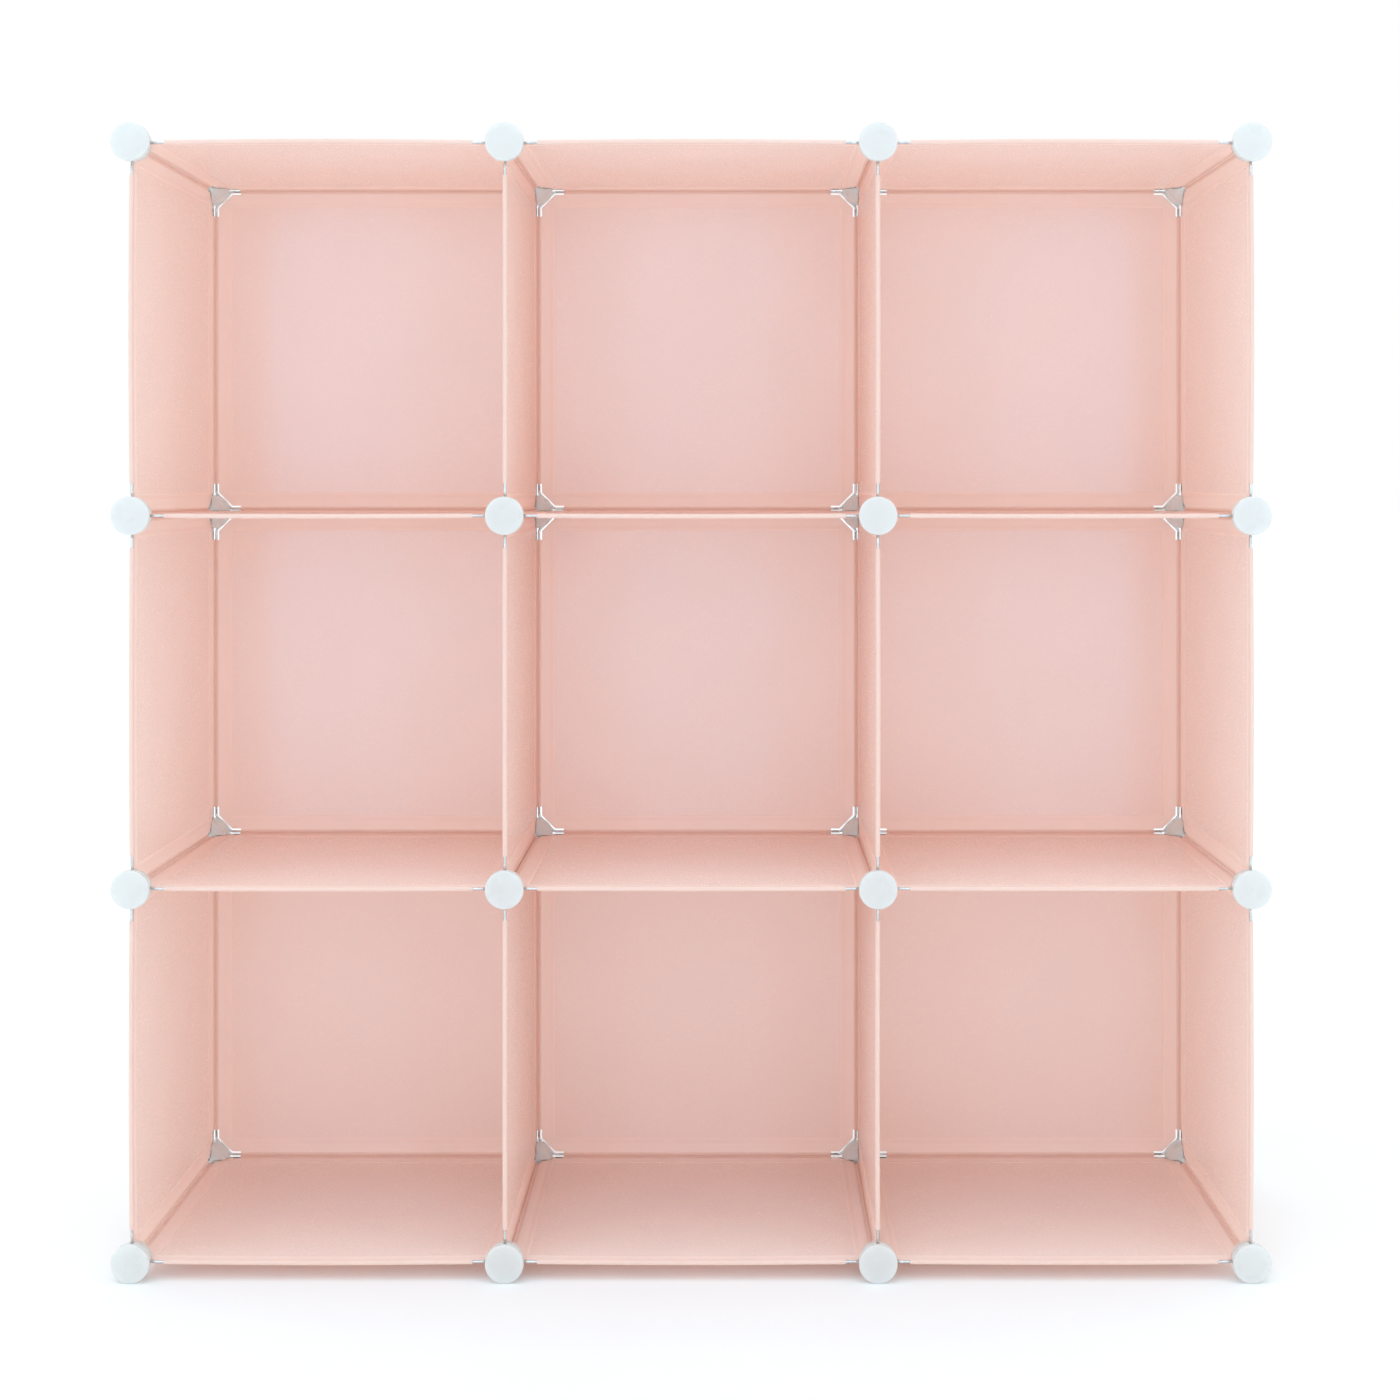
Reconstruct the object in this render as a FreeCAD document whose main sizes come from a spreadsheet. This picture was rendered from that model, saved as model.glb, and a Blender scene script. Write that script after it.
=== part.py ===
import FreeCAD, Part
import math
import os
from types import SimpleNamespace

import Sketcher

# A free-standing storage unit of three by three open-fronted cubes, in millimetres.
#
# Thirty-three equal square panels make the backs, sides and shelves. Each is a plastic sheet whose
# edges are folded round a closed steel wire frame and welded down as a hem. The panels meet along
# the lines of a square grid. Thirty-two equal connectors, sixteen in front and sixteen behind, grip
# the bare corners of the wire frames: a flat round cap, a flat slot behind it for the panels that
# lie parallel to the cap, and four jaws with crossed slots for the panels that stand square to it.
#
# +Z is up and the open front faces -Y. The origin is on the floor, midway between the sides and
# midway between the front and back caps. The unit stands on the rims of its eight lowest caps.

DRIVING_SIZES = {
    "cube_pitch": 300,         # between neighbouring grid lines, which is the size of one cube
    "edge_offset": 2.85,       # from a grid line to the wire of every panel that meets there
    "sheet_thickness": 0.65,
    "hem_width": 15,           # from the middle of the wire to the inner edge of the hem
    "fold_clearance": 0.05,    # between the wire and the sheet folded round it
    "sheet_cut": 23.5,         # where the line of a sheet's cut corner meets the grid lines
    "bead_cut": 26,            # from a grid line to the end of the fold round the wire
    "notch_depth": 2.75,       # from the middle of the wire to the flat sheet beyond that end
    "wire_diameter": 2.4,
    "wire_cut": 17,            # where the slanted corner of a wire frame meets the grid lines
    "wire_bend": 5,            # radius at the middle of the wire
    "cap_diameter": 31,
    "cap_thickness": 4,
    "cap_rounding": 1.2,
    "slot_width": 3,
    "core_reach": 14.5,        # from the axis to the corners of the core between cap and jaws
    "jaw_length": 13,
    "jaw_tip_diameter": 27,
    "jaw_rounding": 0.6,
}

COLUMNS = ("left", "center", "right")
ROWS = ("bottom", "middle", "top")
UPRIGHTS = ("left_side", "left_divider", "right_divider", "right_side")
LEVELS = ("bottom", "lower_shelf", "upper_shelf", "top")
PANEL_LEVELS = ("bottom_panel", "lower_shelf", "upper_shelf", "top_panel")
CONNECTOR_LEVELS = ("bottom", "lower", "upper", "top")

X = FreeCAD.Vector(1, 0, 0)
Y = FreeCAD.Vector(0, 1, 0)
Z = FreeCAD.Vector(0, 0, 1)


class Length:
    """A length with its value now and the formula that gives it from the sheet of sizes."""

    def __init__(self, value, formula):
        self.value = value
        self.formula = formula

    def __add__(self, other):
        return Length(self.value + other.value, f"({self.formula} + {other.formula})")

    def __sub__(self, other):
        return Length(self.value - other.value, f"({self.formula} - {other.formula})")

    def __mul__(self, factor):
        return Length(self.value * factor, f"({self.formula} * {factor})")

    def __truediv__(self, divisor):
        return Length(self.value / divisor, f"({self.formula} / {divisor})")

    def __neg__(self):
        return self * -1


ZERO = Length(0, "0")


def make_sheet(doc):
    """Writes the driving sizes to a spreadsheet, and returns them as lengths by name."""
    sheet = doc.addObject("Spreadsheet::Sheet", "sizes")
    for line, (name, number) in enumerate(DRIVING_SIZES.items(), start=1):
        sheet.set(f"A{line}", name)
        sheet.set(f"B{line}", str(number))
        sheet.setAlias(f"B{line}", name)
    doc.recompute()
    lengths = {name: Length(number, f"sizes.{name}") for name, number in DRIVING_SIZES.items()}
    return SimpleNamespace(**lengths)


def origin_feature(body, role):
    """The body's own origin plane or axis of that role."""
    return next(item for item in body.Origin.OriginFeatures if item.Role == role)


def add_body(name):
    body = doc.addObject("PartDesign::Body", name)
    body.Label = name
    body.AllowCompound = True
    return body


def place(body, x_axis, y_axis, z_axis, position):
    """Turns the body's own axes to three right-handed directions and ties its place to the sheet."""
    turn = FreeCAD.Rotation(x_axis, y_axis, z_axis, "XYZ")
    body.Placement = FreeCAD.Placement(FreeCAD.Vector(), turn)
    for axis, length in zip("xyz", position):
        body.setExpression(f"Placement.Base.{axis}", length.formula)


def add_sketch(body, name, plane):
    sketch = body.newObject("Sketcher::SketchObject", name)
    sketch.AttachmentSupport = [(origin_feature(body, plane), "")]
    sketch.MapMode = "FlatFace"
    return sketch


def vector(point):
    return FreeCAD.Vector(point[0].value, point[1].value, 0)


def fix_point(sketch, edge, end, point):
    """Dimensions one end of an edge from the sketch's origin."""
    for kind, axis, length in (("DistanceX", -2, point[0]), ("DistanceY", -1, point[1])):
        if length is ZERO:
            sketch.addConstraint(Sketcher.Constraint("PointOnObject", edge, end, axis))
        else:
            dimension = Sketcher.Constraint(kind, -1, 1, edge, end, length.value)
            number = sketch.addConstraint(dimension)
            sketch.setExpression(f"Constraints[{number}]", length.formula)


def draw_outline(sketch, corners):
    """A closed outline of straight lines through dimensioned corners."""
    first = sketch.GeometryCount
    following = corners[1:] + corners[:1]
    for start, end in zip(corners, following):
        sketch.addGeometry(Part.LineSegment(vector(start), vector(end)), False)
    for place_in_loop, corner in enumerate(corners):
        edge = first + place_in_loop
        next_edge = first + (place_in_loop + 1) % len(corners)
        sketch.addConstraint(Sketcher.Constraint("Coincident", edge, 2, next_edge, 1))
        fix_point(sketch, edge, 1, corner)


def draw_square(sketch, half_side):
    """A square about the sketch's origin."""
    draw_outline(
        sketch,
        [
            (-half_side, -half_side),
            (half_side, -half_side),
            (half_side, half_side),
            (-half_side, half_side),
        ],
    )


def draw_circle(sketch, center, diameter):
    circle = Part.Circle(vector(center), Z, diameter.value / 2)
    edge = sketch.addGeometry(circle, False)
    fix_point(sketch, edge, 3, center)
    number = sketch.addConstraint(Sketcher.Constraint("Diameter", edge, diameter.value))
    sketch.setExpression(f"Constraints[{number}]", diameter.formula)


def add_feature(body, kind, name, profile):
    feature = body.newObject(f"PartDesign::{kind}", name)
    feature.Profile = profile
    return feature


def add_pad(body, name, profile, length, reverse=False, symmetric=False):
    pad = add_feature(body, "Pad", name, profile)
    pad.SideType = "Symmetric" if symmetric else "One side"
    pad.Reversed = reverse
    pad.setExpression("Length", length.formula)
    return pad


def add_pocket(body, name, profile, length):
    """Cuts the profile to half the length on each side of its plane."""
    pocket = add_feature(body, "Pocket", name, profile)
    pocket.SideType = "Symmetric"
    pocket.setExpression("Length", length.formula)
    return pocket


def repeat_around(body, name, features, count=4):
    """Repeats features at equal turns about the body's Z axis."""
    pattern = body.newObject("PartDesign::PolarPattern", name)
    pattern.Originals = features
    pattern.Axis = (origin_feature(body, "Z_Axis"), [""])
    pattern.Angle = 360
    pattern.Occurrences = count
    body.Tip = pattern


def repeat_along(body, name, axis, spacing, count):
    """Repeats the whole piece, as built so far, along one of the body's axes, as separate solids."""
    doc.recompute()
    pattern = body.newObject("PartDesign::LinearPattern", name)
    pattern.TransformMode = "Whole shape"
    pattern.Direction = (origin_feature(body, axis), [""])
    pattern.Mode = "Spacing"
    pattern.setExpression("Offset", spacing.formula)
    pattern.Occurrences = count
    body.Tip = pattern


def shape_panel(body):
    """A hemmed sheet in the body's XY plane, centred, with the hem's flap on its -Z side.

    Its corners are cut off, and beside each cut the fold is notched away to bare the wire.
    """
    wire_line = size.cube_pitch / 2 - size.edge_offset
    channel_diameter = size.wire_diameter + size.fold_clearance * 2
    bead_diameter = channel_diameter + size.sheet_thickness * 2

    sheet_outline = add_sketch(body, "sheet_outline", "XY_Plane")
    draw_square(sheet_outline, wire_line)
    add_pad(body, "sheet", sheet_outline, size.sheet_thickness)

    flap_outline = add_sketch(body, "flap_outline", "XY_Plane")
    draw_square(flap_outline, wire_line)
    draw_square(flap_outline, wire_line - size.hem_width)
    add_pad(body, "flap", flap_outline, size.sheet_thickness, reverse=True)

    bead_section = add_sketch(body, "bead_section", "XZ_Plane")
    draw_circle(bead_section, (wire_line, ZERO), bead_diameter)
    bead = add_pad(body, "bead", bead_section, size.cube_pitch, symmetric=True)

    channel_section = add_sketch(body, "channel_section", "XZ_Plane")
    draw_circle(channel_section, (wire_line, ZERO), channel_diameter)
    channel = add_pocket(body, "wire_channel", channel_section, size.cube_pitch)
    repeat_around(body, "four_beads", [bead, channel])

    corner = size.cube_pitch / 2
    bead_end = corner - size.bead_cut
    notch_side = wire_line - size.notch_depth
    cut_end = size.cube_pitch - size.sheet_cut - notch_side
    cut_outline = add_sketch(body, "corner_outline", "XY_Plane")
    draw_outline(
        cut_outline,
        [
            (corner, corner),
            (bead_end, corner),
            (bead_end, notch_side),
            (cut_end, notch_side),
            (notch_side, cut_end),
            (notch_side, bead_end),
            (corner, bead_end),
        ],
    )
    cut = add_pocket(body, "corner_cut", cut_outline, bead_diameter * 2)
    repeat_around(body, "four_corner_cuts", [cut])


def draw_quarter_path(sketch, reach, slant):
    """A quarter of the wire's middle line, from the middle of one side to the middle of the next.

    The corner between them is cut off by a slanted run, with a tangent bend at each end of it.
    """
    bend = size.wire_bend.value
    tangent = bend * math.tan(math.radians(45 / 2))
    half_turn = math.radians(45 / 2)
    slant_direction = (X + Y).normalize()
    side_start = FreeCAD.Vector(0, -reach.value, 0)
    slant_start = FreeCAD.Vector(reach.value - slant.value, -reach.value, 0)
    slant_end = FreeCAD.Vector(reach.value, slant.value - reach.value, 0)
    side_end = FreeCAD.Vector(reach.value, 0, 0)

    first_bend = slant_start - X * tangent
    first_center = first_bend + Y * bend
    first_middle = first_center + FreeCAD.Vector(math.sin(half_turn), -math.cos(half_turn), 0) * bend
    last_bend = slant_end + Y * tangent
    last_center = last_bend - X * bend
    last_middle = last_center + FreeCAD.Vector(math.cos(half_turn), -math.sin(half_turn), 0) * bend
    slant_from = slant_start + slant_direction * tangent
    slant_to = slant_end - slant_direction * tangent

    for edge in (
        Part.LineSegment(side_start, first_bend),
        Part.Arc(first_bend, first_middle, slant_from),
        Part.LineSegment(slant_from, slant_to),
        Part.Arc(slant_to, last_middle, last_bend),
        Part.LineSegment(last_bend, side_end),
    ):
        sketch.addGeometry(edge, False)
    for edge in range(4):
        sketch.addConstraint(Sketcher.Constraint("Tangent", edge, 2, edge + 1, 1))
    for edge in (1, 3):
        number = sketch.addConstraint(Sketcher.Constraint("Radius", edge, bend))
        sketch.setExpression(f"Constraints[{number}]", size.wire_bend.formula)
    fix_point(sketch, 0, 1, (ZERO, -reach))
    fix_point(sketch, 4, 2, (reach, ZERO))
    sketch.addConstraint(Sketcher.Constraint("Horizontal", 0))
    sketch.addConstraint(Sketcher.Constraint("Vertical", 4))


def shape_wire_frame(body):
    """A closed square of round wire with slanted corners, in the body's XY plane."""
    reach = size.cube_pitch / 2 - size.edge_offset
    slant = size.wire_cut - size.edge_offset
    path = add_sketch(body, "quarter_path", "XY_Plane")
    draw_quarter_path(path, reach, slant)
    section = add_sketch(body, "wire_section", "YZ_Plane")
    draw_circle(section, (-reach, ZERO), size.wire_diameter)
    quarter = add_feature(body, "AdditivePipe", "quarter_wire", section)
    quarter.Spine = path
    repeat_around(body, "four_quarters", [quarter])


def shape_connector(body):
    """A connector about the body's Z axis: the cap faces -Z and the jaws point to +Z.

    Z = 0 is the middle of the flat slot, where the wires of the panels parallel to the cap lie.
    """
    slot_half = size.slot_width / 2
    cap_radius = size.cap_diameter / 2
    cap_face = -slot_half - size.cap_thickness
    tip = slot_half + size.jaw_length

    profile = add_sketch(body, "turned_profile", "XZ_Plane")
    draw_outline(
        profile,
        [
            (ZERO, cap_face),
            (cap_radius, cap_face),
            (cap_radius, slot_half),
            (size.jaw_tip_diameter / 2, tip),
            (ZERO, tip),
        ],
    )
    blank = add_feature(body, "Revolution", "turned_blank", profile)
    blank.ReferenceAxis = (profile, ["V_Axis"])
    blank.Angle = 360

    slot_outline = add_sketch(body, "flat_slot_outline", "XY_Plane")
    draw_square(slot_outline, cap_radius * 2)
    core = size.core_reach
    draw_outline(slot_outline, [(core, ZERO), (ZERO, core), (-core, ZERO), (ZERO, -core)])
    add_pocket(body, "flat_slot", slot_outline, size.slot_width)

    notch_outline = add_sketch(body, "notch_outline", "XZ_Plane")
    draw_outline(
        notch_outline,
        [
            (core, ZERO),
            (core + size.slot_width, ZERO),
            (core + size.slot_width, core + size.slot_width),
            (-size.slot_width, core + size.slot_width),
        ],
    )
    notch = add_pocket(body, "notch", notch_outline, size.slot_width)
    repeat_around(body, "crossed_slots", [notch])

    round_edges(body, "cap_rounding", cap_face.value, size.cap_rounding)
    round_edges(body, "jaw_rounding", tip.value, size.jaw_rounding)


def round_edges(body, name, height, radius):
    """Rounds the edges that lie wholly at one height along the body's Z axis."""
    doc.recompute()
    base = body.Tip
    edges = [
        f"Edge{number}"
        for number, edge in enumerate(base.Shape.Edges, start=1)
        if abs(edge.BoundBox.ZMin - height) < 1e-6 and abs(edge.BoundBox.ZMax - height) < 1e-6
    ]
    fillet = body.newObject("PartDesign::Fillet", name)
    fillet.Base = (base, edges)
    fillet.setExpression("Radius", radius.formula)


def grid_place(step):
    """The sideways place of a grid line, counted in cubes from the middle of the unit."""
    return size.cube_pitch * step


def grid_height(level):
    """The height of a grid line, counted in cubes from the lowest one."""
    return size.cap_diameter / 2 + size.cube_pitch * level


def add_back(row, column):
    """One back panel and the wire frame inside it, which stand in the rear grid plane."""
    where = f"{ROWS[row]}_{COLUMNS[column]}"
    position = (grid_place(column - 1), grid_place(0.5), grid_height(row + 0.5))
    panel = add_body(f"back_panel_{where}")
    shape_panel(panel)
    place(panel, -X, Z, Y, position)
    frame = add_body(f"back_wire_frame_{where}")
    shape_wire_frame(frame)
    place(frame, -X, Z, Y, position)
    return [panel, frame]


def add_upright(number):
    """The three panels of one upright, from the floor up, and their wire frames as one group."""
    outward = -X if number < 2 else X
    along = Z.cross(outward)
    pieces = []
    for row, row_name in enumerate(ROWS):
        panel = add_body(f"{UPRIGHTS[number]}_panel_{row_name}")
        shape_panel(panel)
        position = (grid_place(number - 1.5), ZERO, grid_height(row + 0.5))
        place(panel, along, Z, outward, position)
        pieces.append(panel)
    frames = add_body(f"{UPRIGHTS[number]}_wire_frames")
    shape_wire_frame(frames)
    repeat_along(frames, "frames_above", "Y_Axis", size.cube_pitch, len(ROWS))
    place(frames, along, Z, outward, (grid_place(number - 1.5), ZERO, grid_height(0.5)))
    return pieces + [frames]


def add_level(number):
    """The three panels of one level, from the left, and their wire frames as one group."""
    upward = Z if number == len(LEVELS) - 1 else -Z
    pieces = []
    for column, column_name in enumerate(COLUMNS):
        panel = add_body(f"{PANEL_LEVELS[number]}_{column_name}")
        shape_panel(panel)
        place(panel, X, upward.cross(X), upward, (grid_place(column - 1), ZERO, grid_height(number)))
        pieces.append(panel)
    frames = add_body(f"{LEVELS[number]}_wire_frames")
    shape_wire_frame(frames)
    repeat_along(frames, "frames_beside", "X_Axis", size.cube_pitch, len(COLUMNS))
    place(frames, X, upward.cross(X), upward, (grid_place(-1), ZERO, grid_height(number)))
    return pieces + [frames]


def add_connectors(end, number):
    """The four connectors of one level, at the front or at the rear."""
    inward = Y if end == "front" else -Y
    step = -0.5 if end == "front" else 0.5
    group = add_body(f"{end}_connectors_{CONNECTOR_LEVELS[number]}")
    shape_connector(group)
    repeat_along(group, "connectors_beside", "X_Axis", size.cube_pitch, len(UPRIGHTS))
    place(group, X, inward.cross(X), inward, (grid_place(-1.5), grid_place(step), grid_height(number)))
    return [group]


def check(pieces):
    """Stops the build if any object failed or any piece is empty, broken or missing a solid."""
    for item in doc.Objects:
        if "Invalid" in item.State or "Error" in item.State:
            raise RuntimeError(f"{item.Label} did not build: {item.State}")
    for piece in pieces:
        shape = piece.Shape
        if shape.isNull() or not shape.isValid() or shape.Volume <= 0:
            raise RuntimeError(f"{piece.Label} has no valid shape")


def write(pieces):
    os.makedirs("parts", exist_ok=True)
    for piece in pieces:
        piece.Shape.exportStep(f"parts/{piece.Label}.step")


doc = FreeCAD.newDocument("cube_storage_unit")
size = make_sheet(doc)

pieces = []
for row in range(len(ROWS)):
    for column in range(len(COLUMNS)):
        pieces += add_back(row, column)
for number in range(len(UPRIGHTS)):
    pieces += add_upright(number)
for number in range(len(LEVELS)):
    pieces += add_level(number)
for end in ("front", "rear"):
    for number in range(len(CONNECTOR_LEVELS)):
        pieces += add_connectors(end, number)

doc.recompute()
check(pieces)
write(pieces)
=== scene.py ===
import math
import random

import bmesh
import bpy
import numpy as np
from mathutils import Matrix, Vector


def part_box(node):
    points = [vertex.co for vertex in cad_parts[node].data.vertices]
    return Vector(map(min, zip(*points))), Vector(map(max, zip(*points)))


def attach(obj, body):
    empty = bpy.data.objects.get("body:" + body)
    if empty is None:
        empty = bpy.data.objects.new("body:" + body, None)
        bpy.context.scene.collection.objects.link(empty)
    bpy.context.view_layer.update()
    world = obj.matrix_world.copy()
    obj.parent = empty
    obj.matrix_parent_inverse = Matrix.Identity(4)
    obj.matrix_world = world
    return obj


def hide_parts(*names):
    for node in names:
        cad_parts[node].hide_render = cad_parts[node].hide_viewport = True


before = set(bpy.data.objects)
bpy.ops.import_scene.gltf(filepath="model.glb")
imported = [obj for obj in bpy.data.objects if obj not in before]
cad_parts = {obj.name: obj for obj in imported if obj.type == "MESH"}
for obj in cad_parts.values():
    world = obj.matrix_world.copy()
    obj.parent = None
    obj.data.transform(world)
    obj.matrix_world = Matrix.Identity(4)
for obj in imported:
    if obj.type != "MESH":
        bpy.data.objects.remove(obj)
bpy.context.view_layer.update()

# Looks for the cube storage unit. The connectors are the CAD nodes with better materials. Every
# panel and every wire frame is rebuilt here with the same section and place as its CAD node, and
# bows a little between its corners, as thin plastic on a wire does.

MM = 0.001

ROWS = ("bottom", "middle", "top")
COLUMNS = ("left", "center", "right")
UPRIGHTS = ("left_side", "left_divider", "right_divider", "right_side")
LEVELS = {
    "bottom": "bottom_panel",
    "lower_shelf": "lower_shelf",
    "upper_shelf": "upper_shelf",
    "top": "top_panel",
}

X = Vector((1, 0, 0))
Y = Vector((0, 1, 0))
Z = Vector((0, 0, 1))


def middle(node):
    low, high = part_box(node)
    return (Vector(low) + Vector(high)) / 2


def extents(node):
    low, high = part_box(node)
    return sorted(Vector(high) - Vector(low))


BEAD_RADIUS = extents("back_panel_top_left")[0] / 2
WIRE_RADIUS = extents("back_wire_frame_top_left")[0] / 2
WIRE_LINE = extents("back_panel_top_left")[2] / 2 - BEAD_RADIUS
PITCH = (middle("back_panel_top_center") - middle("back_panel_top_left")).x
CHANNEL_RADIUS = WIRE_RADIUS + 0.05 * MM
SHEET = 0.65 * MM
HEM = 15 * MM
SHEET_CUT = 23.5 * MM           # from a corner of the grid, along its lines, to the sheet's cut
BEAD_END = PITCH / 2 - 26 * MM  # from a side's middle to the end of the fold round the wire
NOTCH_DEPTH = 2.75 * MM         # from the wire to the flat sheet beyond that end
WIRE_CUT = 17 * MM              # how far short of the next grid line the wire's side is cut off
WIRE_BEND = 5 * MM

# The weld line and the flap's rounded edge, as distances in from the wire.
WELD_START = 9.2 * MM
WELD_END = 11.0 * MM
WELD_SLOPE = 0.6 * MM
WELD_DEPTH = 0.2 * MM
ROUNDING_START = HEM - 0.5 * MM
ROUNDING_END = HEM - 0.2 * MM
ROUNDED_PART = 0.85
CLOSE = 0.1 * MM  # a mesh line this near one of these distances counts as on it

# How far panels bow, in millimetres, from least to most. A side is held by its neighbours, but for
# the front ones. A belly is how much further a panel's middle stands out than its sides do.
HELD_SIDE = (-0.1, 0.1)
OUTER_FRONT = (0.5, 1.1)
DIVIDER_FRONT = (-0.4, 0.4)
LEVEL_FRONT = {"bottom": 0.9, "lower_shelf": 0.3, "upper_shelf": 0.3, "top": 1.1}
LEVEL_FRONT_SPREAD = (-0.2, 0.2)
BACK_BELLY = (1.5, 3.0)
UPRIGHT_BELLY = (0.5, 2.0)
LEVEL_BELLY = (1.0, 2.0)
DIVIDER_SHARE = 0.5
ARCH_POWER = 1.3

# The ripples in each panel: how many, their whole waves over its width, their phases and heights.
RIPPLES = 5
RIPPLE_WAVES = (1.2, 3.2)
RIPPLE_PHASE = (0, 6.28)
RIPPLE_HEIGHT = (0.08, 0.22)

# One plastic makes all panels: the colour that it scatters back, the colour of light that has
# passed one of its faces, and the part of the light that passes a face of the plain sheet.
PLASTIC = (0.992, 0.867, 0.811)
PASSED = (0.99, 0.868, 0.816)
PASSING = 0.35

# The same for the connectors' plastic.
CONNECTOR = (0.865, 0.865, 0.84)
CONNECTOR_PASSED = (0.95, 0.95, 0.95)
CONNECTOR_PASSING = 0.48

# The studio's lights, as radiance where the white air round the unit has 1.
OVERHEAD = (0.55, 0.85, 1.0)
SIDE_SOFTBOX = (0.02, 0.3, 0.6)
STRIP_LIGHT = (0.4, 1.7, 3.1)
WIDE_LIGHT = (0.7, 1.05, 1.0)


# --- materials -------------------------------------------------------------------------------

def node_material(name):
    material = bpy.data.materials.new(name)
    material.use_nodes = True
    material.node_tree.nodes.clear()
    return material, material.node_tree


def add_node(tree, kind, **inputs):
    node = tree.nodes.new(kind)
    for name, value in inputs.items():
        node.inputs[name.replace("_", " ")].default_value = value
    return node


def noise(tree, scale, detail=3.0, roughness=0.55):
    """Noise over the piece's own place in the room, with features about 1 / scale metres wide."""
    place = tree.nodes.new("ShaderNodeNewGeometry")
    texture = add_node(tree, "ShaderNodeTexNoise", Scale=scale, Detail=detail, Roughness=roughness)
    tree.links.new(place.outputs["Position"], texture.inputs["Vector"])
    return texture.outputs["Fac"]


def ramp(tree, factor, low, high, color_low, color_high):
    node = tree.nodes.new("ShaderNodeValToRGB")
    node.color_ramp.elements[0].position = low
    node.color_ramp.elements[1].position = high
    node.color_ramp.elements[0].color = (*color_low, 1)
    node.color_ramp.elements[1].color = (*color_high, 1)
    tree.links.new(factor, node.inputs["Fac"])
    return node.outputs["Color"]


def spread(tree, factor, low, high):
    """A number between low and high that follows the factor."""
    node = add_node(tree, "ShaderNodeMapRange")
    node.inputs["To Min"].default_value = low
    node.inputs["To Max"].default_value = high
    node.inputs["From Min"].default_value = 0.3
    node.inputs["From Max"].default_value = 0.7
    tree.links.new(factor, node.inputs["Value"])
    return node.outputs["Result"]


def bump(tree, height, strength, distance, normal=None):
    node = add_node(tree, "ShaderNodeBump", Strength=strength, Distance=distance)
    tree.links.new(height, node.inputs["Height"])
    if normal is not None:
        tree.links.new(normal, node.inputs["Normal"])
    return node.outputs["Normal"]


def shaded(color, part):
    return tuple(part * channel for channel in color)


def show(tree, shader):
    """Make a shader what the material's surface shows."""
    output = tree.nodes.new("ShaderNodeOutputMaterial")
    tree.links.new(shader, output.inputs["Surface"])


def let_light_through(tree, skin, glow, share):
    """Show the skin shader, and the translucent glow shader for a share of the light."""
    mix = add_node(tree, "ShaderNodeMixShader", Fac=share)
    tree.links.new(skin.outputs["BSDF"], mix.inputs[1])
    tree.links.new(glow.outputs["BSDF"], mix.inputs[2])
    show(tree, mix.outputs["Shader"])


def plastic_sheet(name, depth, share, roughness, gloss):
    """Translucent plastic: one part scatters light back, the other lets it through.

    depth scales its colour, share is the part that goes through each of its two faces, and gloss
    is its Specular IOR Level.
    """
    material, tree = node_material(name)
    mottle = noise(tree, 14, detail=4)
    grain = noise(tree, 900, detail=2)
    color = ramp(tree, mottle, 0.35, 0.68, shaded(PLASTIC, 0.985 * depth), shaded(PLASTIC, depth))
    surface = bump(tree, mottle, 0.25, 0.4 * MM)
    surface = bump(tree, grain, 0.12, 0.05 * MM, surface)

    skin = add_node(tree, "ShaderNodeBsdfPrincipled")
    skin.inputs["IOR"].default_value = 1.49
    skin.inputs["Specular IOR Level"].default_value = gloss
    skin.inputs["Diffuse Roughness"].default_value = 0.4
    tree.links.new(color, skin.inputs["Base Color"])
    dull = spread(tree, grain, roughness - 0.05, roughness + 0.06)
    tree.links.new(dull, skin.inputs["Roughness"])
    tree.links.new(surface, skin.inputs["Normal"])

    glow = add_node(tree, "ShaderNodeBsdfTranslucent")
    glow.inputs["Color"].default_value = (*shaded(PASSED, depth), 1)
    tree.links.new(surface, glow.inputs["Normal"])
    let_light_through(tree, skin, glow, share)
    return material


def moulded_plastic():
    """White plastic that lets some light through, with a faint grain and duller patches."""
    material, tree = node_material("connector_moulded_plastic")
    mottle = noise(tree, 60, detail=5)
    grain = noise(tree, 1600, detail=2)
    skin = add_node(tree, "ShaderNodeBsdfPrincipled")
    skin.inputs["IOR"].default_value = 1.54
    skin.inputs["Subsurface Weight"].default_value = 0.25
    skin.inputs["Subsurface Radius"].default_value = (0.004, 0.004, 0.004)
    skin.inputs["Subsurface Scale"].default_value = 0.5
    color = ramp(tree, mottle, 0.3, 0.7, shaded(CONNECTOR, 0.97), shaded(CONNECTOR, 1.02))
    tree.links.new(color, skin.inputs["Base Color"])
    tree.links.new(spread(tree, mottle, 0.24, 0.36), skin.inputs["Roughness"])
    tree.links.new(bump(tree, grain, 0.08, 0.05 * MM), skin.inputs["Normal"])
    glow = add_node(tree, "ShaderNodeBsdfTranslucent")
    glow.inputs["Color"].default_value = (*CONNECTOR_PASSED, 1)
    let_light_through(tree, skin, glow, CONNECTOR_PASSING)
    return material


def bright_wire():
    """Drawn and zinc-plated steel wire, with fine streaks and duller spots."""
    material, tree = node_material("wire_plated_steel")
    spots = noise(tree, 220, detail=4)
    streaks = noise(tree, 2500, detail=1)
    metal = add_node(tree, "ShaderNodeBsdfPrincipled", Metallic=1.0)
    color = ramp(tree, spots, 0.35, 0.7, (0.58, 0.57, 0.56), (0.76, 0.75, 0.74))
    tree.links.new(color, metal.inputs["Base Color"])
    tree.links.new(spread(tree, spots, 0.18, 0.34), metal.inputs["Roughness"])
    tree.links.new(bump(tree, streaks, 0.1, 0.02 * MM), metal.inputs["Normal"])
    show(tree, metal.outputs["BSDF"])
    return material


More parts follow.
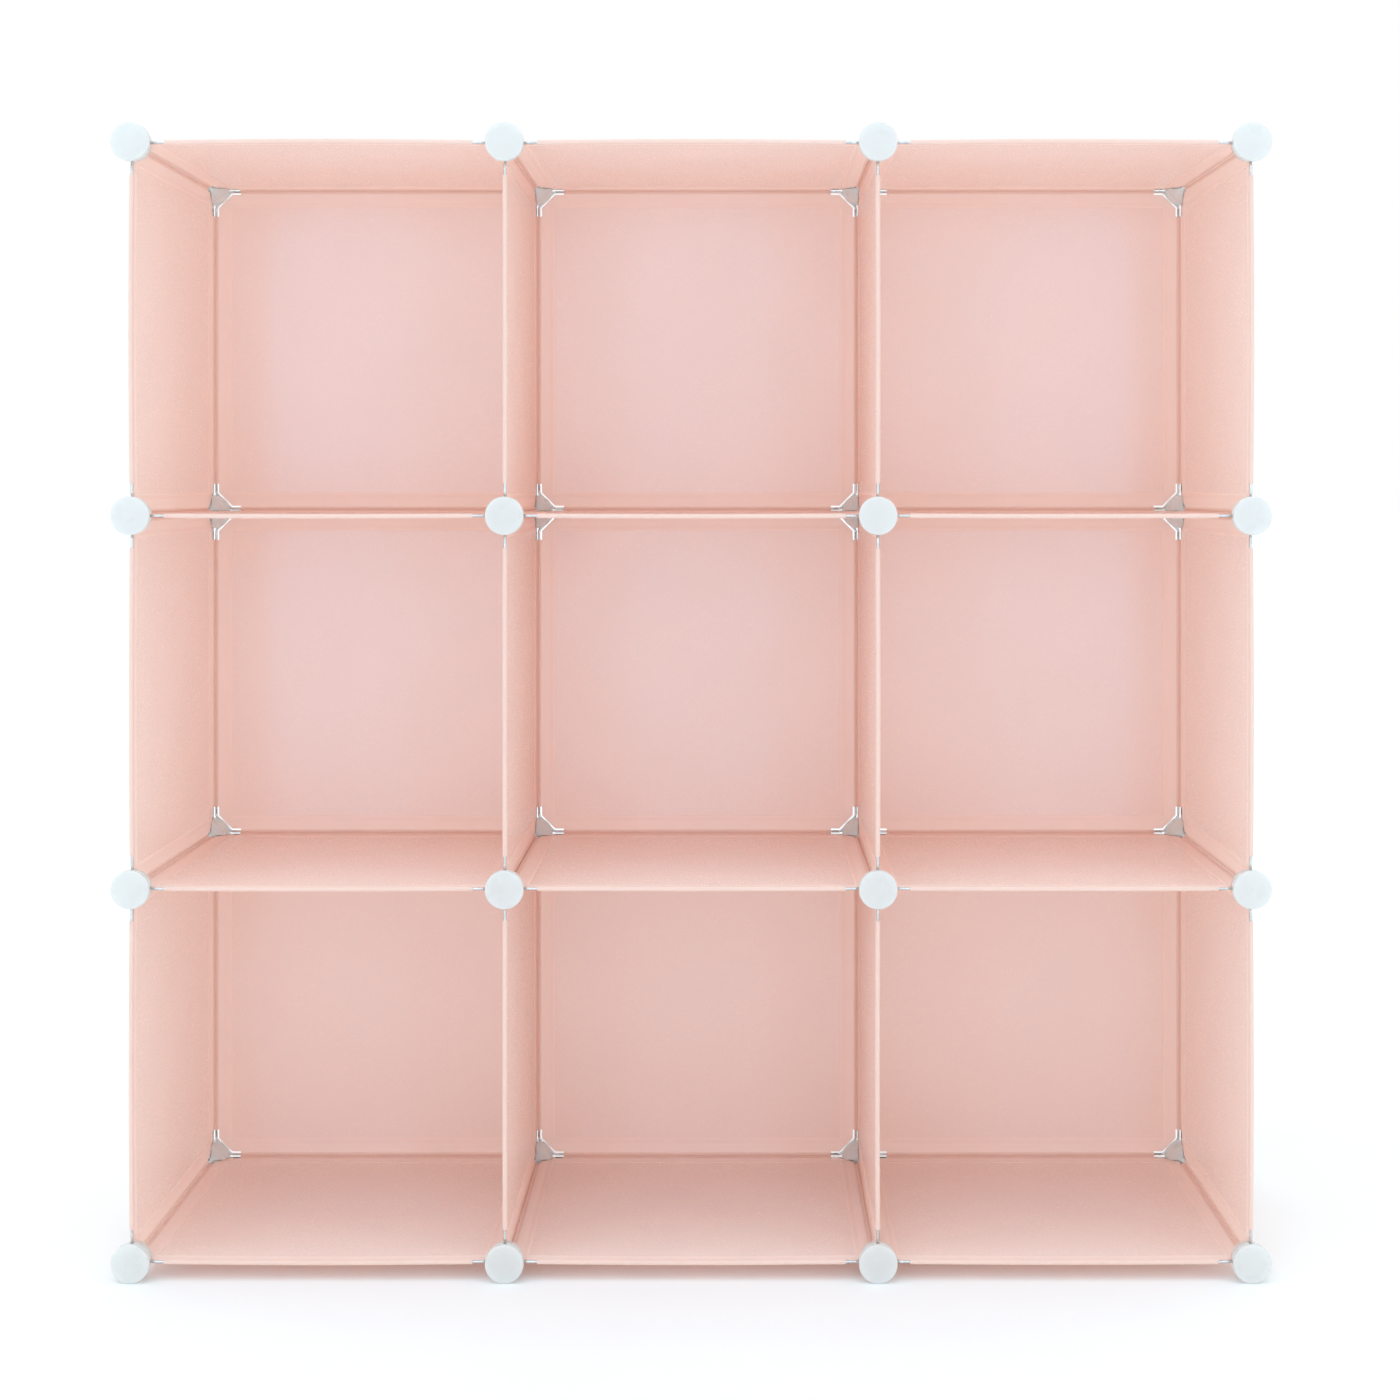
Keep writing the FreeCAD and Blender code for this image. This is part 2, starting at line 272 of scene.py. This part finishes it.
SHEET_PLASTIC = plastic_sheet("panel_sheet_plastic", 1.0, PASSING, 0.24, 1.0)
HEM_PLASTIC = plastic_sheet("panel_hem_plastic", 1.008, PASSING + 0.03, 0.42, 0.35)
BEAD_PLASTIC = plastic_sheet("panel_bead_plastic", 0.98, 2 * PASSING, 0.36, 0.4)
LINING_PLASTIC = plastic_sheet("panel_fold_lining_plastic", 1.0, 0.08, 0.5, 0.3)
CONNECTOR_PLASTIC = moulded_plastic()
WIRE_STEEL = bright_wire()

PANEL_PLASTICS = (SHEET_PLASTIC, HEM_PLASTIC, BEAD_PLASTIC, LINING_PLASTIC)
SHEET_SLOT, HEM_SLOT, BEAD_SLOT, LINING_SLOT = range(len(PANEL_PLASTICS))


# --- the panel, flat ---------------------------------------------------------------------------

def edge_section():
    """The outline round a panel's edge, as (inward, up) from the wire, top face first."""
    end_angle, turn_step = math.radians(140), math.radians(20)
    curve_steps = 4
    circle_end = (-BEAD_RADIUS * math.cos(end_angle), BEAD_RADIUS * math.sin(end_angle))
    slope = math.tan(end_angle - math.pi / 2)
    corner = (circle_end[0] + (circle_end[1] - SHEET) / slope, SHEET)
    flat_start = (NOTCH_DEPTH, SHEET)
    upper = []
    for step in range(curve_steps):
        part = step / curve_steps
        upper.append(
            tuple(
                (1 - part) ** 2 * a + 2 * part * (1 - part) * b + part**2 * c
                for a, b, c in zip(flat_start, corner, circle_end)
            )
        )
    turn = [end_angle - step * turn_step for step in range(15)]
    circle = [(-BEAD_RADIUS * math.cos(angle), BEAD_RADIUS * math.sin(angle)) for angle in turn]
    lower = [(inward, -up) for inward, up in reversed(upper)]
    return upper + circle + lower


SECTION = edge_section()
CHANNEL_TURN = [math.radians(30 * step) for step in range(13)]
CHANNEL = [
    (CHANNEL_RADIUS * math.cos(angle), CHANNEL_RADIUS * math.sin(angle)) for angle in CHANNEL_TURN
]


def line_places():
    """Where the panel's mesh lines run, from one edge to the other."""
    weld_lines = [WELD_START - WELD_SLOPE, WELD_START, WELD_END, WELD_END + WELD_SLOPE]
    from_edge = [NOTCH_DEPTH, *weld_lines, ROUNDING_START, ROUNDING_END, HEM]
    from_edge += [HEM + 1 * MM, WIRE_LINE - BEAD_END]
    from_edge += [WIRE_LINE * part for part in (0.2, 0.27, 0.35, 0.44, 0.54, 0.65, 0.77, 0.88)]
    half = [WIRE_LINE - inward for inward in from_edge]
    return sorted([-place for place in half] + half + [0.0])


def weld(inward):
    """How far the weld line is pressed into the hem, at a distance in from the wire."""
    return WELD_DEPTH if WELD_START - CLOSE < inward < WELD_END + CLOSE else 0.0


def top_height(u, v):
    return SHEET - weld(WIRE_LINE - max(abs(u), abs(v)))


def lower_height(u, v):
    """The sheet's lower face, with the flap's rounded edge and the weld line."""
    inward = WIRE_LINE - max(abs(u), abs(v))
    if inward > ROUNDING_END + CLOSE:
        return 0.0
    part = 1 if inward < ROUNDING_END - CLOSE else ROUNDED_PART
    return weld(inward) - SHEET * part


def add_point(mesh, turn, inward, v, up):
    """A new mesh point, inward and up from the wire, at a place v along the panel's side."""
    return mesh.verts.new(turn @ Vector((WIRE_LINE - inward, v, up)))


def add_outline(mesh, turn, outline, v):
    return [add_point(mesh, turn, inward, v, up) for inward, up in outline]


def add_flat_faces(mesh, places):
    for height in (top_height, lower_height):
        points = [[mesh.verts.new((u, v, height(u, v))) for v in places] for u in places]
        for i in range(len(places) - 1):
            for j in range(len(places) - 1):
                corners = (points[i][j], points[i + 1][j], points[i + 1][j + 1], points[i][j + 1])
                mesh.faces.new(corners)


def add_side(mesh, places, turn):
    """One side: its bead and channel, the beads' closed ends, and the notch walls beyond them."""
    bead_places = [place for place in places if abs(place) < BEAD_END + CLOSE / 10]
    for outline in (SECTION, CHANNEL):
        rings = [add_outline(mesh, turn, outline, v) for v in bead_places]
        for ring, following in zip(rings, rings[1:]):
            for k in range(len(outline) - 1):
                mesh.faces.new((ring[k], following[k], following[k + 1], ring[k + 1]))

    for place, following in zip(places, places[1:]):
        if abs(place + following) / 2 > BEAD_END:
            corners = [(place, SHEET), (following, SHEET), (following, -SHEET), (place, -SHEET)]
            mesh.faces.new([add_point(mesh, turn, NOTCH_DEPTH, v, up) for v, up in corners])

    for v in (-BEAD_END, BEAD_END):
        edges = []
        for outline in (SECTION, CHANNEL[:-1]):
            loop = add_outline(mesh, turn, outline, v)
            edges += [mesh.edges.new(pair) for pair in zip(loop, loop[1:] + loop[:1])]
        bmesh.ops.triangle_fill(mesh, edges=edges, use_beauty=True, normal=turn @ Y)


def cut_corner(mesh, angle):
    """Cut one corner off, and close the cut."""
    normal = Vector((math.cos(angle), math.sin(angle), 0))
    cut = bmesh.ops.bisect_plane(
        mesh,
        geom=list(mesh.verts) + list(mesh.edges) + list(mesh.faces),
        dist=0.0001 * MM,
        plane_co=normal * ((PITCH - SHEET_CUT) / math.sqrt(2)),
        plane_no=normal,
        clear_outer=True,
    )
    rim = [item for item in cut["geom_cut"] if isinstance(item, bmesh.types.BMEdge)]
    bmesh.ops.triangle_fill(mesh, edges=rim, use_beauty=True, normal=normal)


def flat_panel():
    """A hemmed sheet with its edges rolled round a channel for the wire and its corners cut off."""
    mesh = bmesh.new()
    places = line_places()
    add_flat_faces(mesh, places)
    for quarter in range(4):
        add_side(mesh, places, Matrix.Rotation(quarter * math.pi / 2, 3, "Z"))
    bmesh.ops.remove_doubles(mesh, verts=mesh.verts, dist=0.001 * MM)
    for quarter in range(4):
        cut_corner(mesh, math.pi / 4 + quarter * math.pi / 2)
    bmesh.ops.recalc_face_normals(mesh, faces=mesh.faces)

    for face in mesh.faces:
        center = face.calc_center_median()
        inward = WIRE_LINE - max(abs(center.x), abs(center.y))
        face.smooth = True
        if math.hypot(inward, center.z) < CHANNEL_RADIUS:
            face.material_index = LINING_SLOT
        elif inward < NOTCH_DEPTH:
            face.material_index = BEAD_SLOT
        else:
            face.material_index = HEM_SLOT if inward < HEM else SHEET_SLOT
    return mesh


def sharpen(data, angle=35):
    """Smooth shading everywhere but across edges that turn by more than the angle."""
    mesh = bmesh.new()
    mesh.from_mesh(data)
    for edge in mesh.edges:
        edge.smooth = len(edge.link_faces) == 2 and edge.calc_face_angle(0) < math.radians(angle)
    mesh.to_mesh(data)
    mesh.free()


# --- how a panel bows --------------------------------------------------------------------------

class Bow:
    """The shape that one panel has sprung into, as a height over its flat plane.

    sides are how far the middles of its four sides stand out, in the order +u, +v, -u, -v, and
    belly is how much further its middle does, all in millimetres.
    """

    def __init__(self, sides, belly, seed):
        self.sides = sides
        self.belly = belly
        chance = random.Random(seed)
        self.ripples = []
        for _ in range(RIPPLES):
            across, along = chance.uniform(*RIPPLE_WAVES), chance.uniform(*RIPPLE_WAVES)
            phase, size = chance.uniform(*RIPPLE_PHASE), chance.uniform(*RIPPLE_HEIGHT)
            self.ripples.append((across, along, phase, size))

    def height(self, points):
        """How high the panel stands over its flat plane at each point, in metres."""
        u = np.clip(points[:, 0] / WIRE_LINE, -1, 1)
        v = np.clip(points[:, 1] / WIRE_LINE, -1, 1)
        arch_u = np.cos(u * math.pi / 2) ** ARCH_POWER
        arch_v = np.cos(v * math.pi / 2) ** ARCH_POWER
        right, far, left, near = self.sides
        height = arch_v * (right * (1 + u) / 2 + left * (1 - u) / 2)
        height += arch_u * (far * (1 + v) / 2 + near * (1 - v) / 2)
        inside = (1 - u**2) * (1 - v**2)
        height += self.belly * inside
        for across, along, phase, size in self.ripples:
            wave = np.sin(across * math.pi * u + phase) * np.cos(along * math.pi * v - phase)
            height += size * inside * wave
        return height * MM


# --- making the pieces -------------------------------------------------------------------------

def finish_object(name, data, turn, nodes):
    piece = bpy.data.objects.new(name, data)
    bpy.context.scene.collection.objects.link(piece)
    piece.matrix_world = turn
    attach(piece, "root")
    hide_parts(*nodes)


def make_panel(base, name, turn, bow):
    data = base.copy()
    data.name = name
    points = np.empty(len(data.vertices) * 3)
    data.vertices.foreach_get("co", points)
    points = points.reshape(-1, 3)
    points[:, 2] += bow.height(points)
    data.vertices.foreach_set("co", points.ravel())
    data.update()
    finish_object(f"{name}_formed", data, turn, [name])


def wire_path():
    """The wire's middle line in its own plane, once round, with the straight runs divided."""
    slant = WIRE_CUT - (PITCH / 2 - WIRE_LINE)
    tangent = WIRE_BEND * math.tan(math.radians(22.5))
    side_end = WIRE_LINE - slant - tangent
    quarter = []
    side_steps, bend_steps = 24, 4
    for step in range(side_steps):
        part = -1 + 2 * step / side_steps
        quarter.append((WIRE_LINE, part * side_end))
    for center, start in (
        ((WIRE_LINE - WIRE_BEND, side_end), 0),
        ((side_end, WIRE_LINE - WIRE_BEND), 45),
    ):
        for step in range(bend_steps + 1):
            angle = math.radians(start + step * 45 / bend_steps)
            out = (WIRE_BEND * math.cos(angle), WIRE_BEND * math.sin(angle))
            quarter.append((center[0] + out[0], center[1] + out[1]))
    path = []
    for turns in range(4):
        cos, sin = math.cos(turns * math.pi / 2), math.sin(turns * math.pi / 2)
        path += [(x * cos - y * sin, x * sin + y * cos, 0) for x, y in quarter]
    return np.array(path)


def wire_tube(path, sides=14):
    """Points and faces of a closed round tube along a closed path."""
    before, after = np.roll(path, 1, axis=0), np.roll(path, -1, axis=0)
    along = after - before
    along /= np.linalg.norm(along, axis=1)[:, None]
    out = np.cross(along, (0, 0, 1))
    out /= np.linalg.norm(out, axis=1)[:, None]
    up = np.cross(out, along)
    points, faces = [], []
    for step in range(sides):
        angle = 2 * math.pi * step / sides
        points.append(path + WIRE_RADIUS * (math.cos(angle) * out + math.sin(angle) * up))
    points = np.array(points).transpose(1, 0, 2)
    count = len(path)
    for i in range(count):
        for k in range(sides):
            j, m = (i + 1) % count, (k + 1) % sides
            faces.append((i * sides + k, j * sides + k, j * sides + m, i * sides + m))
    return points.reshape(-1, 3), faces


def make_wires(node, panels):
    """The wire frames of one node, each bowed as the panel that it stiffens."""
    all_points, all_faces = [], []
    for turn, bow in panels:
        path = wire_path()
        path[:, 2] = bow.height(path)
        points, faces = wire_tube(path)
        first = sum(len(part) for part in all_points)
        placed = points @ np.array(turn.to_3x3()).T + np.array(turn.translation)
        all_points.append(placed)
        all_faces += [tuple(first + corner for corner in face) for face in faces]
    data = bpy.data.meshes.new(node)
    data.from_pydata(np.concatenate(all_points).tolist(), [], all_faces)
    data.polygons.foreach_set("use_smooth", [True] * len(data.polygons))
    data.materials.append(WIRE_STEEL)
    finish_object(f"{node}_formed", data, Matrix.Identity(4), [node])


def frame_of(x_axis, y_axis, z_axis, origin):
    turn = Matrix((x_axis, y_axis, z_axis)).transposed().to_4x4()
    turn.translation = origin
    return turn


# --- the unit ----------------------------------------------------------------------------------

def build_panels():
    base_shape = flat_panel()
    base = bpy.data.meshes.new("panel_base")
    base_shape.to_mesh(base)
    base_shape.free()
    sharpen(base)
    for material in PANEL_PLASTICS:
        base.materials.append(material)

    chance = random.Random(7)
    for row in ROWS:
        for column in COLUMNS:
            node = f"back_panel_{row}_{column}"
            turn = frame_of(-X, Z, Y, middle(node))
            sides = [chance.uniform(*HELD_SIDE) for _ in range(4)]
            bow = Bow(sides, chance.uniform(*BACK_BELLY), node)
            make_panel(base, node, turn, bow)
            make_wires(f"back_wire_frame_{row}_{column}", [(turn, bow)])

    for number, upright in enumerate(UPRIGHTS):
        outward = -X if number < 2 else X
        outer = number in (0, 3)
        made = []
        for row in ROWS:
            node = f"{upright}_panel_{row}"
            turn = frame_of(Z.cross(outward), Z, outward, middle(node))
            front = chance.uniform(*(OUTER_FRONT if outer else DIVIDER_FRONT))
            sides = [chance.uniform(*HELD_SIDE) for _ in range(4)]
            sides[0 if number < 2 else 2] = front
            belly = chance.uniform(*UPRIGHT_BELLY) * (1 if outer else DIVIDER_SHARE)
            bow = Bow(sides, belly, node)
            make_panel(base, node, turn, bow)
            made.append((turn, bow))
        make_wires(f"{upright}_wire_frames", made)

    for level, panel_name in LEVELS.items():
        upward = Z if level == "top" else -Z
        made = []
        for column in COLUMNS:
            node = f"{panel_name}_{column}"
            turn = frame_of(X, upward.cross(X), upward, middle(node))
            front = LEVEL_FRONT[level] + chance.uniform(*LEVEL_FRONT_SPREAD)
            sides = [chance.uniform(*HELD_SIDE) for _ in range(4)]
            sides[3 if level == "top" else 1] = front
            bow = Bow(sides, chance.uniform(*LEVEL_BELLY), node)
            make_panel(base, node, turn, bow)
            made.append((turn, bow))
        make_wires(f"{level}_wire_frames", made)
    bpy.data.meshes.remove(base)


def dress_connectors():
    for name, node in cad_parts.items():
        if "connectors" in name:
            node.data.materials.clear()
            node.data.materials.append(CONNECTOR_PLASTIC)


# --- studio ------------------------------------------------------------------------------------

def add_camera():
    """Level, with the lens shifted so that upright lines stay upright."""
    data = bpy.data.cameras.new("camera")
    data.sensor_width = 36
    data.lens = 61.08
    data.shift_x = -0.02571
    data.shift_y = -0.15286
    camera = bpy.data.objects.new("camera", data)
    camera.location = (0.0359, -2.058, 0.6394)
    camera.rotation_euler = (math.radians(90), 0, 0)
    bpy.context.scene.collection.objects.link(camera)
    bpy.context.scene.camera = camera


def tint(light, strength, size=1.0):
    """Set a light's colour, and its energy as the strength of its strongest channel."""
    strongest = max(strength)
    light.color = [channel / strongest for channel in strength]
    light.energy = strongest * size


def add_softbox(name, place, target, width, height, radiance):
    """A flat soft light. It shows in gloss, but not as a bright board in the picture."""
    data = bpy.data.lights.new(name, "AREA")
    data.shape = "RECTANGLE"
    data.size, data.size_y = width, height
    tint(data, radiance, math.pi * width * height)
    light = bpy.data.objects.new(name, data)
    light.location = place
    light.rotation_euler = (Vector(target) - Vector(place)).to_track_quat("-Z", "Y").to_euler()
    light.visible_camera = False
    bpy.context.scene.collection.objects.link(light)


def add_studio():
    material, tree = node_material("studio_floor_paint")
    paint = add_node(tree, "ShaderNodeBsdfPrincipled", Roughness=0.9)
    color = ramp(tree, noise(tree, 3), 0.3, 0.7, (0.89, 0.89, 0.89), (0.91, 0.91, 0.91))
    tree.links.new(color, paint.inputs["Base Color"])
    paint.inputs["Specular IOR Level"].default_value = 0.1
    show(tree, paint.outputs["BSDF"])
    bpy.ops.mesh.primitive_circle_add(vertices=96, radius=60, fill_type="NGON", location=(0, 0, 0))
    floor = bpy.context.object
    floor.name = "studio_floor"
    floor.data.materials.append(material)

    world = bpy.data.worlds.new("studio_air")
    world.use_nodes = True
    world.node_tree.nodes["Background"].inputs["Color"].default_value = (1, 1, 1, 1)
    world.node_tree.nodes["Background"].inputs["Strength"].default_value = 1.0
    bpy.context.scene.world = world

    sky = bpy.data.lights.new("ceiling_light", "SUN")
    tint(sky, OVERHEAD)
    sky.angle = math.radians(70)
    ceiling = bpy.data.objects.new("ceiling_light", sky)
    ceiling.rotation_euler = (math.radians(18), math.radians(-6), 0)
    bpy.context.scene.collection.objects.link(ceiling)

    # The softboxes and the strips stand behind the camera, where the back panels mirror them. The
    # wide lights stand left and right of the picture.
    for name, x in (("left_softbox", -0.72), ("right_softbox", 0.64)):
        add_softbox(name, (x, -2.6, 0.75), (x, 0, 0.75), 0.66, 1.3, SIDE_SOFTBOX)
    for name, x in (("left_wide_light", -2.3), ("right_wide_light", 2.3)):
        add_softbox(name, (x, -1.7, 0.9), (0, 0, 0.5), 0.9, 1.3, WIDE_LIGHT)
    for name, x in (("left_strip", -0.83), ("middle_strip", -0.09), ("right_strip", 0.78)):
        add_softbox(name, (x, -2.55, 0.75), (x, 0, 0.75), 0.2, 1.2, STRIP_LIGHT)


def set_light_paths():
    """Light goes back and forth many times between pale walls before it leaves a cell."""
    bpy.context.scene.cycles.max_bounces = 24
    bpy.context.scene.cycles.diffuse_bounces = 12
    bpy.context.scene.cycles.transmission_bounces = 16


def set_color_management():
    bpy.context.scene.view_settings.view_transform = "Standard"
    bpy.context.scene.view_settings.look = "None"


add_camera()
build_panels()
dress_connectors()
add_studio()
set_light_paths()
set_color_management()
